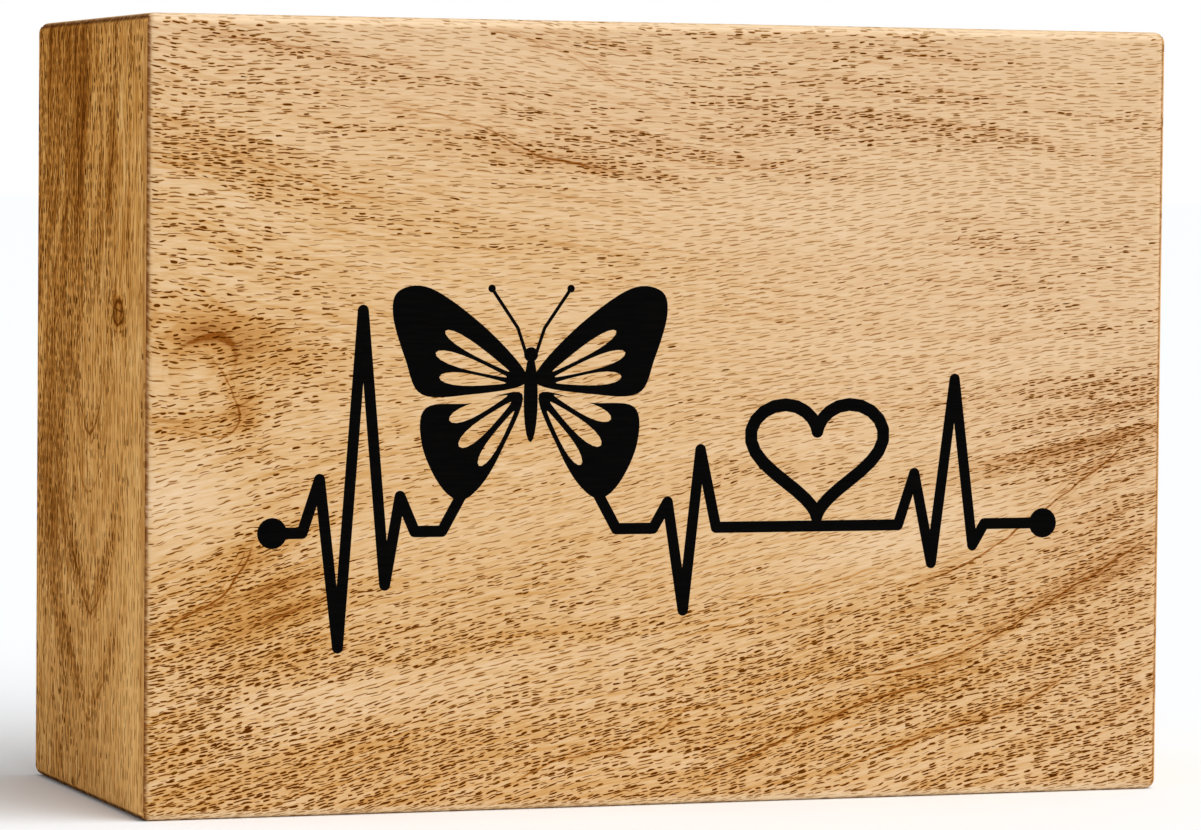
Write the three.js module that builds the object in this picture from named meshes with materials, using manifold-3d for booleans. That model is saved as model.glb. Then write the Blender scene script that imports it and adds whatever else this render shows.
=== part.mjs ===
// A wooden cremation urn box: five mitred boards and a screwed panel that closes it from below.
// Millimetres, +Z up, front towards -Y, origin at the middle of the footprint on the table.
import * as THREE from "three";
import { ConvexGeometry } from "three/addons/geometries/ConvexGeometry.js";
import { RoundedBoxGeometry } from "three/addons/geometries/RoundedBoxGeometry.js";
import { mergeVertices } from "three/addons/utils/BufferGeometryUtils.js";
import Module from "manifold-3d";

// Box
const WIDTH = 250;
const DEPTH = 100;
const HEIGHT = 180;
const WALL = 12;
const EDGE_RADIUS = 2.5;
const EDGE_STEPS = 5;

// Glue line left open between two mitred boards, measured square to the joint
const JOINT_GAP = 0.3;

// Base panel, in a rebate cut into the lower inner edge of the four walls
const PANEL_THICKNESS = 6;
const PANEL_RECESS = 1;
const PANEL_EASING = 0.8;
const PANEL_EASING_STEPS = 2;
const REBATE_WIDTH = 7;
const FIT_GAP = 0.3;

// Screws, driven up through the panel into the front and back walls
const SCREW_HEAD_RADIUS = 2.5;
const SCREW_HEAD_HEIGHT = 1.5;
const SCREW_SHANK_RADIUS = 1.25;
const SCREW_LENGTH = 16;
const SCREW_TIP = 2.5;
const SCREW_SINK = 0.2;
const SCREW_SIDES = 24;
const SCREW_FROM_MIDDLE = 95;
const SCREW_INTO_SHOULDER = 3;
const SLOT_LENGTH = 2.8;
const SLOT_WIDTH = 0.6;
const SLOT_DEPTH = 0.9;

// Cutters reach past the surface they cut
const OVERSHOOT = 5;

// Finishes
const FACE_WOOD = { color: 0xd3a873, roughness: 0.45, metalness: 0 };
const SIDE_WOOD = { color: 0xb98650, roughness: 0.45, metalness: 0 };
const BASE_WOOD = { color: 0xc79a63, roughness: 0.6, metalness: 0 };
const SCREW_STEEL = { color: 0xb9b7b0, roughness: 0.35, metalness: 1 };

const wasm = await Module();
wasm.setup();

function toSolid(geometry) {
  const bare = geometry.clone();
  bare.deleteAttribute("normal");
  bare.deleteAttribute("uv");
  const welded = mergeVertices(bare, 1e-4);
  const vertProperties = new Float32Array(welded.attributes.position.array);
  const triVerts = new Uint32Array(welded.index.array);
  return new wasm.Manifold(new wasm.Mesh({ numProp: 3, vertProperties, triVerts }));
}

function toMesh(name, solid, finish) {
  const shape = solid.getMesh();
  const geometry = new THREE.BufferGeometry();
  geometry.setAttribute("position", new THREE.BufferAttribute(new Float32Array(shape.vertProperties), 3));
  geometry.setIndex(new THREE.BufferAttribute(new Uint32Array(shape.triVerts), 1));
  geometry.computeVertexNormals();
  const mesh = new THREE.Mesh(geometry, new THREE.MeshStandardMaterial(finish));
  mesh.name = name;
  return mesh;
}

function boxSolid(sizeX, sizeY, sizeZ, bottomZ) {
  const geometry = new THREE.BoxGeometry(sizeX, sizeY, sizeZ);
  geometry.translate(0, 0, bottomZ + sizeZ / 2);
  return toSolid(geometry);
}

// A shape turned about an upright axis, its profile given as [radius, height] from the bottom up
function turnedSolid(profile, x, y) {
  const points = profile.map(([radius, height]) => new THREE.Vector2(radius, height));
  const geometry = new THREE.LatheGeometry(points, SCREW_SIDES);
  geometry.rotateX(Math.PI / 2);
  geometry.translate(x, y, 0);
  return toSolid(geometry);
}

// Whole outer body, before it is divided into boards
function outerBody() {
  const geometry = new RoundedBoxGeometry(WIDTH, DEPTH, HEIGHT, EDGE_STEPS, EDGE_RADIUS);
  geometry.translate(0, 0, HEIGHT / 2);
  return toSolid(geometry);
}

// Wedge with 45 degree flanks that takes one board out of the outer body.
// place(across, along, inset) gives a corner; inset counts inwards from the board's outer face.
function boardWedge(place) {
  const corners = [];
  for (const inset of [-OVERSHOOT, WALL]) {
    for (const acrossSign of [-1, 1]) {
      for (const alongSign of [-1, 1]) {
        corners.push(place(acrossSign, alongSign, inset));
      }
    }
  }
  return toSolid(new ConvexGeometry(corners));
}

// How far a board is trimmed along its face by half of the glue line
const MITRE_TRIM = JOINT_GAP / Math.SQRT2;

function wallFoot(alongSign, inset) {
  return alongSign < 0 ? -OVERSHOOT : HEIGHT - inset - MITRE_TRIM;
}

// Front wall has facing -1, back wall has facing 1
function longWallWedge(facing) {
  return boardWedge((acrossSign, alongSign, inset) => new THREE.Vector3(
    acrossSign * (WIDTH / 2 - inset - MITRE_TRIM),
    facing * (DEPTH / 2 - inset),
    wallFoot(alongSign, inset),
  ));
}

// Left wall has facing -1, right wall has facing 1
function endWallWedge(facing) {
  return boardWedge((acrossSign, alongSign, inset) => new THREE.Vector3(
    facing * (WIDTH / 2 - inset),
    acrossSign * (DEPTH / 2 - inset - MITRE_TRIM),
    wallFoot(alongSign, inset),
  ));
}

function topWedge() {
  return boardWedge((acrossSign, alongSign, inset) => new THREE.Vector3(
    acrossSign * (WIDTH / 2 - inset - MITRE_TRIM),
    alongSign * (DEPTH / 2 - inset - MITRE_TRIM),
    HEIGHT - inset,
  ));
}

// Rebate for the base panel
const REBATE_TOP = PANEL_RECESS + PANEL_THICKNESS + FIT_GAP;
const REBATE_SIZE_X = WIDTH - 2 * (WALL - REBATE_WIDTH);
const REBATE_SIZE_Y = DEPTH - 2 * (WALL - REBATE_WIDTH);

function rebateCutter() {
  return boxSolid(REBATE_SIZE_X, REBATE_SIZE_Y, REBATE_TOP + OVERSHOOT, -OVERSHOOT);
}

// Screws
const SCREW_Y = DEPTH / 2 - WALL + SCREW_INTO_SHOULDER;
const SCREW_PLACES = [
  [-SCREW_FROM_MIDDLE, -SCREW_Y],
  [SCREW_FROM_MIDDLE, -SCREW_Y],
  [SCREW_FROM_MIDDLE, SCREW_Y],
  [-SCREW_FROM_MIDDLE, SCREW_Y],
];
const SCREW_BOTTOM = PANEL_RECESS + SCREW_SINK;
const SCREW_TOP = SCREW_BOTTOM + SCREW_LENGTH;

function screwSolid(x, y) {
  const blank = turnedSolid([
    [0, SCREW_BOTTOM],
    [SCREW_HEAD_RADIUS, SCREW_BOTTOM],
    [SCREW_SHANK_RADIUS, SCREW_BOTTOM + SCREW_HEAD_HEIGHT],
    [SCREW_SHANK_RADIUS, SCREW_TOP - SCREW_TIP],
    [0, SCREW_TOP],
  ], x, y);
  const slotHeight = SLOT_DEPTH + OVERSHOOT;
  const slotBottom = SCREW_BOTTOM - OVERSHOOT;
  const slotAlong = boxSolid(SLOT_LENGTH, SLOT_WIDTH, slotHeight, slotBottom);
  const slotAcross = boxSolid(SLOT_WIDTH, SLOT_LENGTH, slotHeight, slotBottom);
  return blank.subtract(slotAlong.add(slotAcross).translate([x, y, 0]));
}

// Countersunk clearance for one screw, through the panel and up into the wall
function screwHole(x, y) {
  const headRadius = SCREW_HEAD_RADIUS + FIT_GAP;
  const shankRadius = SCREW_SHANK_RADIUS + FIT_GAP;
  return turnedSolid([
    [0, -OVERSHOOT],
    [headRadius, -OVERSHOOT],
    [headRadius, SCREW_BOTTOM],
    [shankRadius, SCREW_BOTTOM + SCREW_HEAD_HEIGHT],
    [shankRadius, SCREW_TOP + FIT_GAP],
    [0, SCREW_TOP + FIT_GAP],
  ], x, y);
}

function basePanel() {
  const sizeX = REBATE_SIZE_X - 2 * FIT_GAP;
  const sizeY = REBATE_SIZE_Y - 2 * FIT_GAP;
  const geometry = new RoundedBoxGeometry(sizeX, sizeY, PANEL_THICKNESS, PANEL_EASING_STEPS, PANEL_EASING);
  geometry.translate(0, 0, PANEL_RECESS + PANEL_THICKNESS / 2);
  return toSolid(geometry);
}

// Assembly
const body = outerBody();
const rebate = rebateCutter();
const screwHoles = SCREW_PLACES.map(([x, y]) => screwHole(x, y));
const allHoles = screwHoles.reduce((joined, hole) => joined.add(hole));

function wallBoard(wedge) {
  return body.intersect(wedge).subtract(rebate).subtract(allHoles);
}

const urn = new THREE.Group();
urn.name = "cremation_urn_box";
urn.add(toMesh("front_board", wallBoard(longWallWedge(-1)), FACE_WOOD));
urn.add(toMesh("back_board", wallBoard(longWallWedge(1)), FACE_WOOD));
urn.add(toMesh("left_side_board", wallBoard(endWallWedge(-1)), SIDE_WOOD));
urn.add(toMesh("right_side_board", wallBoard(endWallWedge(1)), SIDE_WOOD));
urn.add(toMesh("top_board", body.intersect(topWedge()), FACE_WOOD));
urn.add(toMesh("base_panel", basePanel().subtract(allHoles), BASE_WOOD));
SCREW_PLACES.forEach(([x, y], index) => {
  urn.add(toMesh(`base_screw_${index + 1}`, screwSolid(x, y), SCREW_STEEL));
});

export default urn;
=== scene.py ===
"""Looks of a wooden cremation urn box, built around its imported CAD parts.

Metres, +Z up, front towards -Y.
"""

import math

import bmesh
import bpy
import numpy as np
from mathutils import Matrix, Vector
from mathutils.geometry import delaunay_2d_cdt


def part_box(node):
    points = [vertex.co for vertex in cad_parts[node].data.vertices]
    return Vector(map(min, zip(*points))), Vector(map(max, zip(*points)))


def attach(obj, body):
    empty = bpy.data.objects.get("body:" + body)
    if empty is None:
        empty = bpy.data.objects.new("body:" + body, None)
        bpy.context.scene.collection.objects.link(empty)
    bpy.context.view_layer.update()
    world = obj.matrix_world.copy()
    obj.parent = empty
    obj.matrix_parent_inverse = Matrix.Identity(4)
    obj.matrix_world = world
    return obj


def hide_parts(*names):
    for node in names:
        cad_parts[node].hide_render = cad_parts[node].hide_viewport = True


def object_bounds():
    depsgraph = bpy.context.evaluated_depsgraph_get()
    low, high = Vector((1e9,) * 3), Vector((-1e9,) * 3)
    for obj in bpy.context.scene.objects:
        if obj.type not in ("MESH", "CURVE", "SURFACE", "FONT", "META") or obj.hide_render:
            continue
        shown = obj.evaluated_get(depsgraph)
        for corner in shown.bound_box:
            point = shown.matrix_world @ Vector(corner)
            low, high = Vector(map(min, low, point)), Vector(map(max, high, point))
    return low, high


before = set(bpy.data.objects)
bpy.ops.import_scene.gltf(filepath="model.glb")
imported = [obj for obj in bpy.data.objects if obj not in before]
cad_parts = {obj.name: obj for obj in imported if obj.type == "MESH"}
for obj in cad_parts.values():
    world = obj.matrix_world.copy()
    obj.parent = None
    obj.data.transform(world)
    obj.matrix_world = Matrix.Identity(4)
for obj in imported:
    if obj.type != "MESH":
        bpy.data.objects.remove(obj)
cad_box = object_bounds()

MM = 0.001

# Sizes taken from the frame; the CAD part leaves a gap around its base panel
FIT_GAP = 0.3 * MM
box_low, box_high = cad_box
WIDTH = box_high[0] - box_low[0]
DEPTH = box_high[1] - box_low[1]
HEIGHT = box_high[2] - box_low[2]
front_low, front_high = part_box("front_board")
WALL = front_high.y - front_low.y
panel_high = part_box("base_panel")[1]
REBATE_TOP = panel_high.z + FIT_GAP
LIP = DEPTH / 2 - panel_high.y - FIT_GAP

# Boards
EDGE_RADIUS = 2.5 * MM
EDGE_STEPS = 8
HAIRLINE = 0.04 * MM
SEAM_EASE = 0.1 * MM
FINE_PITCH = 1.6 * MM
PLAIN_PITCH = 3.0 * MM

# Meshes
WELD_DISTANCE = 1e-7
SHARP_ANGLE = math.radians(28)

# Camera, fitted to the six box corners that the photo shows
CAMERA_AZIMUTH = math.radians(-19.8)
CAMERA_ELEVATION = math.radians(2.5)
CAMERA_ROLL = math.radians(0.534)
CAMERA_DISTANCE = 1272.5 * MM
CAMERA_TARGET = Vector((0.92 * MM, 0, 87.8 * MM))
CAMERA_LENS = 159.8
SENSOR_WIDTH = 36.0


def add_object(name, mesh):
    piece = bpy.data.objects.new(name, mesh)
    bpy.context.scene.collection.objects.link(piece)
    return piece


def mesh_from_arrays(name, points, faces):
    """A closed mesh with doubled points welded, faces turned outwards and sharp corners kept sharp."""
    shape = bmesh.new()
    corners = [shape.verts.new(point) for point in points]
    for face in faces:
        shape.faces.new([corners[index] for index in face])
    bmesh.ops.remove_doubles(shape, verts=shape.verts, dist=WELD_DISTANCE)
    bmesh.ops.dissolve_degenerate(shape, edges=shape.edges, dist=WELD_DISTANCE)
    bmesh.ops.recalc_face_normals(shape, faces=shape.faces)
    mesh = bpy.data.meshes.new(name)
    shape.to_mesh(mesh)
    shape.free()
    mesh.shade_smooth()
    mesh.set_sharp_from_angle(angle=SHARP_ANGLE)
    return mesh


# Board shapes

def rounded_run(half, pitch):
    """Columns across a face: where each starts, and how far it leans out, from -1 to 1."""
    turn = np.tan(np.linspace(-math.pi / 4, 0, EDGE_STEPS + 1))[:-1]
    flat_half = half - EDGE_RADIUS
    flat = np.linspace(-flat_half, flat_half, round(2 * flat_half / pitch) + 1)
    start = np.concatenate([np.full(EDGE_STEPS, -flat_half), flat, np.full(EDGE_STEPS, flat_half)])
    lean = np.concatenate([turn, np.zeros(len(flat)), -turn[::-1]])
    return start, lean


def grid_faces(rows, columns, close_rows):
    faces = []
    for row in range(rows if close_rows else rows - 1):
        after = (row + 1) % rows
        for column in range(columns - 1):
            faces.append((
                row * columns + column,
                row * columns + column + 1,
                after * columns + column + 1,
                after * columns + column,
            ))
    return faces


def wall_arrays(length, offset, pitch):
    """A wall that faces -Y, mitred at both ends and at the top, with the rebate for the base panel."""
    start, lean = rounded_run(length / 2, pitch)
    columns = len(start)
    quarter = np.linspace(0, math.pi / 2, 2 * EDGE_STEPS + 1)[1:]
    top_lean = np.tan(np.linspace(math.pi / 4, 0, EDGE_STEPS + 1))[:-1]
    flat_z = np.linspace(HEIGHT - EDGE_RADIUS, EDGE_RADIUS, round(HEIGHT / pitch) + 1)

    rows = []
    for up in np.concatenate([top_lean, np.zeros(len(flat_z))]):
        outward = np.stack([lean, -np.ones(columns), np.full(columns, up)], axis=1)
        rows.append(outward / np.linalg.norm(outward, axis=1, keepdims=True))
    for angle in quarter:
        level = np.stack([lean, -np.ones(columns), np.zeros(columns)], axis=1)
        level /= np.linalg.norm(level, axis=1, keepdims=True)
        rows.append(level * math.cos(angle) + np.array([0, 0, -math.sin(angle)]))
    base_z = np.concatenate([np.full(EDGE_STEPS, flat_z[0]), flat_z, np.full(len(quarter), flat_z[-1])])
    outer = np.array(rows) * EDGE_RADIUS
    outer[:, :, 0] += start
    outer[:, :, 1] -= offset - EDGE_RADIUS
    outer[:, :, 2] += base_z[:, None]

    # Open the glue seams into a fine groove
    outer[:, 0, 0] += SEAM_EASE
    outer[:, -1, 0] -= SEAM_EASE
    outer[0, :, 2] -= SEAM_EASE
    outer[:, (0, -1), 1] += SEAM_EASE
    outer[0, 1:-1, 1] += SEAM_EASE

    spread = outer[EDGE_STEPS, :, 0] / outer[EDGE_STEPS, -1, 0]
    profile = [(LIP, 0.0), (LIP, REBATE_TOP), (WALL, REBATE_TOP), (WALL, HEIGHT - WALL)]
    inner = np.array([
        np.stack([
            spread * (length / 2 - inset),
            np.full(columns, inset - offset),
            np.full(columns, height),
        ], axis=1)
        for inset, height in profile
    ])
    grid = np.concatenate([outer, inner])
    grid[:, :, 0] *= 1 - HAIRLINE / (length / 2)
    grid[:, :, 2] *= 1 - HAIRLINE / HEIGHT
    faces = grid_faces(len(grid), columns, True)
    for column in (0, columns - 1):
        faces.append([row * columns + column for row in range(len(grid))])
    return grid.reshape(-1, 3), faces


def top_arrays(pitch):
    """The top board, mitred on its four sides."""
    start_x, lean_x = rounded_run(WIDTH / 2, pitch)
    start_y, lean_y = rounded_run(DEPTH / 2, pitch)
    outward = np.ones((len(start_y), len(start_x), 3))
    outward[:, :, 0] = lean_x
    outward[:, :, 1] = lean_y[:, None]
    outer = outward / np.linalg.norm(outward, axis=2, keepdims=True) * EDGE_RADIUS
    outer[:, :, 0] += start_x
    outer[:, :, 1] += start_y[:, None]
    outer[:, :, 2] += HEIGHT - EDGE_RADIUS
    outer[:, 0, 0] += SEAM_EASE
    outer[:, -1, 0] -= SEAM_EASE
    outer[0, :, 1] += SEAM_EASE
    outer[-1, :, 1] -= SEAM_EASE
    outer[:, (0, -1), 2] -= SEAM_EASE
    outer[(0, -1), 1:-1, 2] -= SEAM_EASE

    middle = EDGE_STEPS + 1
    inner = np.empty_like(outer)
    inner[:, :, 0] = outer[middle, :, 0] / outer[middle, -1, 0] * (WIDTH / 2 - WALL)
    inner[:, :, 1] = (outer[:, middle, 1] / outer[-1, middle, 1] * (DEPTH / 2 - WALL))[:, None]
    inner[:, :, 2] = HEIGHT - WALL
    rows, columns = outer.shape[:2]
    rim = [(0, column) for column in range(columns)]
    rim += [(row, columns - 1) for row in range(1, rows)]
    rim += [(rows - 1, column) for column in range(columns - 2, -1, -1)]
    rim += [(row, 0) for row in range(rows - 2, 0, -1)]
    border = [row * columns + column for row, column in rim]
    under = [rows * columns + index for index in range(len(border))]
    points = np.concatenate([outer.reshape(-1, 3), np.array([inner[place] for place in rim])])
    points[:, :2] *= 1 - HAIRLINE / (DEPTH / 2)
    faces = grid_faces(rows, columns, False)
    for index in range(len(border)):
        after = (index + 1) % len(border)
        faces.append((border[index], border[after], under[after], under[index]))
    faces.append(under)
    return points, faces


def make_board(name, node, arrays, turns):
    """Turns a wall by quarter turns about the upright axis and lets it stand for its CAD node."""
    mesh = mesh_from_arrays(name, *arrays)
    mesh.transform(Matrix.Rotation(turns * math.pi / 2, 4, "Z"))
    piece = add_object(name, mesh)
    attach(piece, "root")
    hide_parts(node)
    return piece


front = make_board("front_wood", "front_board", wall_arrays(WIDTH, DEPTH / 2, FINE_PITCH), 0)
right = make_board("right_side_wood", "right_side_board", wall_arrays(DEPTH, WIDTH / 2, PLAIN_PITCH), 1)
back = make_board("back_wood", "back_board", wall_arrays(WIDTH, DEPTH / 2, PLAIN_PITCH), 2)
left = make_board("left_side_wood", "left_side_board", wall_arrays(DEPTH, WIDTH / 2, FINE_PITCH), 3)
top = make_board("top_wood", "top_board", top_arrays(PLAIN_PITCH), 0)


def smooth_path(stops, steps, closed=False):
    """A curve through all the stops, as points, with the same number of steps from stop to stop."""
    stops = np.array(stops, float)
    if closed:
        padded = np.concatenate([stops[-1:], stops, stops[:2]])
    else:
        padded = np.concatenate([2 * stops[:1] - stops[1:2], stops, 2 * stops[-1:] - stops[-2:-1]])
    path = []
    for before, start, end, after in zip(padded[:-3], padded[1:-2], padded[2:-1], padded[3:]):
        for share in np.arange(steps) / steps:
            path.append(0.5 * (
                2 * start
                + (end - before) * share
                + (2 * before - 5 * start + 4 * end - after) * share ** 2
                + (3 * start - before - 3 * end + after) * share ** 3
            ))
    if not closed:
        path.append(stops[-1])
    return np.array(path)


# Print on the front, drawn in millimetres across and up; later shapes lie over earlier ones

PRINT_PROUD = 0.02 * MM
PRINT_SINK = 0.05 * MM
CURVE_STEPS = 7
DISC_SIDES = 20
ROUND = np.arange(DISC_SIDES) * 2 * math.pi / DISC_SIDES
KEEP_INSIDE = 1
CUT_TOLERANCE = 1e-4

# Pulse line, in two stretches with the butterfly between them
BASELINE = 64
TRACE_WIDTH = 2.6
DOT_RADIUS = 3.5
LEFT_TRACE = [
    (-95, BASELINE), (-88, BASELINE), (-84, 76), (-79.5, 38), (-74, 114), (-68.5, 52),
    (-65, 72), (-61.5, BASELINE), (-55, BASELINE), (-50.5, 72),
]
RIGHT_TRACE = [
    (-17.5, 72), (-13, BASELINE), (-4, BASELINE), (-0.5, 70), (3.5, 45), (7.5, 82), (11.5, BASELINE),
    (57, BASELINE), (61, 76), (65.5, 55), (71, 98), (76, 59), (79, BASELINE), (94, BASELINE),
]

# Butterfly, from its middle; the wings on the left mirror those on the right
BUTTERFLY_AT = np.array([-34.0, 97.0])
UPPER_WING = [(2, 0), (14, -2), (26, -2), (30, 6), (33, 16), (31.5, 21.5), (24, 22), (12, 14), (2, 4)]
LOWER_WING = [(2, -2), (7, -15), (12, -23), (17, -26), (22, -22), (26, -13), (25, -5), (14, -4)]
ANTENNA = [(0.8, 6), (3.2, 13), (9.5, 22)]
ANTENNA_WIDTH = 0.8
ANTENNA_TIP = 0.9
BODY_AT = (0, -3)
BODY_HALF_WIDTH = 1.7
BODY_HALF_HEIGHT = 10
HEAD_AT = (0, 7)

# Light drops in the wings: angle, near end, far end and half width
WING_DROPS = [
    (31, 6, 24, 1.9),
    (18, 6, 24, 2.1),
    (5, 6, 22, 2.1),
    (-22, 6, 21, 2.3),
    (-39, 6, 22, 2.4),
    (-56, 7, 22, 2.0),
]
DROP_POINT = 0.25

# Heart outline
HEART_AT = np.array([36.5, 81.5])
HEART_HALF_WIDTH = 16.64
HEART_FLATNESS = 0.9
HEART_LINE_WIDTH = 3.0
HEART_STEPS = 42


def oval(at, half_width, half_height):
    return np.stack([at[0] + half_width * np.cos(ROUND), at[1] + half_height * np.sin(ROUND)], axis=1)


def disc(at, radius):
    return oval(at, radius, radius)


def stroke(points, width):
    """A line of even width with round ends and corners, as overlapping outlines."""
    points = np.array(points, float)
    outlines = [disc(point, width / 2) for point in points]
    for start, end in zip(points[:-1], points[1:]):
        way = end - start
        side = np.array([-way[1], way[0]]) / np.hypot(*way) * width / 2
        outlines.append(np.array([start + side, start - side, end - side, end + side]))
    return outlines


def teardrop(angle, near, far, half_width):
    """A drop that points to the middle, from near to far along a ray."""
    turn = math.radians(angle)
    ray = np.array([math.cos(turn), math.sin(turn)])
    side = np.array([-ray[1], ray[0]])
    part = (1 - np.cos(ROUND)) / 2
    out = near + (far - near) * part
    wide = half_width * np.sin(ROUND) * (DROP_POINT + (1 - DROP_POINT) * part)
    return np.outer(out, ray) + np.outer(wide, side)


def wing_pair(outline, ink):
    """One wing shape and its mirror image on the other side of the body."""
    return [(outline * side + BUTTERFLY_AT, ink) for side in ((1, 1), (-1, 1))]


def butterfly_shapes():
    shapes = []
    for wing in (UPPER_WING, LOWER_WING):
        shapes += wing_pair(smooth_path(wing, CURVE_STEPS, closed=True), True)
    for drop in WING_DROPS:
        shapes += wing_pair(teardrop(*drop), False)
    for line in stroke(ANTENNA, ANTENNA_WIDTH) + [disc(ANTENNA[-1], ANTENNA_TIP)]:
        shapes += wing_pair(line, True)
    shapes.append((oval(BODY_AT, BODY_HALF_WIDTH, BODY_HALF_HEIGHT) + BUTTERFLY_AT, True))
    shapes.append((disc(HEAD_AT, BODY_HALF_WIDTH) + BUTTERFLY_AT, True))
    return shapes


def heart_shapes():
    turns = np.linspace(0, 2 * math.pi, HEART_STEPS + 1)
    across = HEART_HALF_WIDTH * np.sin(turns) ** 3
    up = 13 * np.cos(turns) - 5 * np.cos(2 * turns) - 2 * np.cos(3 * turns) - np.cos(4 * turns)
    line = np.stack([across, HEART_FLATNESS * up], axis=1) + HEART_AT
    return [(outline, True) for outline in stroke(line, HEART_LINE_WIDTH)]


def trace_shapes():
    """A pulse line from dot to dot, with a gap where the butterfly sits on it."""
    outlines = stroke(LEFT_TRACE, TRACE_WIDTH) + stroke(RIGHT_TRACE, TRACE_WIDTH)
    outlines += [disc(LEFT_TRACE[0], DOT_RADIUS), disc(RIGHT_TRACE[-1], DOT_RADIUS)]
    return [(outline, True) for outline in outlines]


def counter_clockwise(outline):
    after = np.roll(outline, -1, axis=0)
    doubled_area = np.sum(outline[:, 0] * after[:, 1] - outline[:, 1] * after[:, 0])
    return outline if doubled_area > 0 else outline[::-1]


def inked_faces(shapes):
    """Cuts overlapping outlines into triangles and keeps those whose topmost outline is inked."""
    corners = []
    outlines = []
    for outline, _ in shapes:
        outlines.append(list(range(len(corners), len(corners) + len(outline))))
        corners.extend(Vector(point) for point in counter_clockwise(outline))
    points, _, faces, _, _, sources = delaunay_2d_cdt(corners, [], outlines, KEEP_INSIDE, CUT_TOLERANCE)
    inked = [face for face, source in zip(faces, sources) if source and shapes[max(source)][1]]
    used = sorted({index for face in inked for index in face})
    place = {index: order for order, index in enumerate(used)}
    return [points[index] for index in used], [[place[index] for index in face] for face in inked]


def make_print():
    """A film of ink on the front board."""
    points, faces = inked_faces(trace_shapes() + butterfly_shapes() + heart_shapes())
    count = len(points)
    corners = [(x * MM, -DEPTH / 2 - PRINT_PROUD, z * MM) for x, z in points]
    corners += [(x * MM, -DEPTH / 2 + PRINT_SINK, z * MM) for x, z in points]
    solid = faces + [[count + index for index in reversed(face)] for face in faces]
    edges = {edge for face in faces for edge in zip(face, face[1:] + face[:1])}
    for start, end in sorted(edges):
        if (end, start) not in edges:
            solid.append([end, start, count + start, count + end])
    piece = add_object("front_print", mesh_from_arrays("front_print", corners, solid))
    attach(piece, "root")
    return piece


front_print = make_print()


# Wood figure, worked out at each point of a board in millimetres along and across its grain

def smooth(value, low, high):
    """Eases from 0 at low to 1 at high."""
    part = np.clip((value - low) / (high - low), 0, 1)
    return part * part * (3 - 2 * part)


def cloud(along, across, at, size, tilt, strength):
    """A soft tilted patch that is strongest in its middle and fades out past its half size."""
    turn = math.radians(tilt)
    far = (along - at[0]) * math.cos(turn) + (across - at[1]) * math.sin(turn)
    wide = (across - at[1]) * math.cos(turn) - (along - at[0]) * math.sin(turn)
    return strength * np.exp(-(far / size[0]) ** 2 - (wide / size[1]) ** 2)


def clouds(along, across, patches):
    """The sum of several soft patches."""
    return sum(cloud(along, across, *patch) for patch in patches)


def waviness(along, across):
    """The slight wander that every fibre has: a long wave and a weaker short one."""
    return 0.8 * np.sin(along / 17 + across / 23) + 0.3 * np.sin(along / 7.3 - across / 11 + 1)


FIBRE_WAVE = 0.6
FOLLOW_STEPS = 24


def follow_fibre(slope, along, across):
    """Follows the fibre from each place to the middle of the board, and says how high it is there."""
    step = along / FOLLOW_STEPS
    place = along
    height = across
    for _ in range(FOLLOW_STEPS):
        height = height - slope(place, height) * step
        place = place - step
    return height


VEIN_STEPS = 6
VEIN_REACH = 5.0
VEIN_FADE_IN = (0.0, 0.25)
VEIN_FADE_OUT = (1.02, 0.8)
NO_VEIN = 1000.0


def vein_field(along, across, veins):
    """Signed distance to the nearest dark vein, and how strongly that vein shows there."""
    nearest = np.full(along.shape, NO_VEIN)
    strength = np.zeros(along.shape)
    for darkness, stops in veins:
        line = smooth_path(stops, VEIN_STEPS)
        for index, (start, end) in enumerate(zip(line[:-1], line[1:])):
            way = end - start
            span = np.dot(way, way)
            reach = ((along - start[0]) * way[0] + (across - start[1]) * way[1]) / span
            reach = np.clip(reach, 0, 1)
            off_along = along - start[0] - reach * way[0]
            off_across = across - start[1] - reach * way[1]
            side = np.where(way[0] * off_across < way[1] * off_along, -1, 1)
            distance = np.hypot(off_along, off_across)
            closer = distance < np.abs(nearest)
            part = (index + reach) / (len(line) - 1)
            fade = darkness * smooth(part, *VEIN_FADE_IN) * smooth(part, *VEIN_FADE_OUT)
            nearest = np.where(closer, distance * side, nearest)
            strength = np.where(closer, fade, strength)
    return nearest, strength * smooth(np.abs(nearest), VEIN_REACH, 0.5 * VEIN_REACH)


# Soft patches of a board: middle, half size, tilt in degrees and strength

# Swirl near the left edge of the front
FIBRE_SWIRL = ((-108, 100), (20, 16), 0, 1.5)
RING_SWIRL = ((-112, 98), (18, 12), 0, 9)

# Where the fibres near the top of the front dip or rise
FRONT_LIFTS = [
    ((-40, 170), (45, 40), 0, -0.05),
    ((32, 128), (45, 28), 0, 0.14),
    ((-105, 158), (35, 16), 0, 0.08),
]

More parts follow.
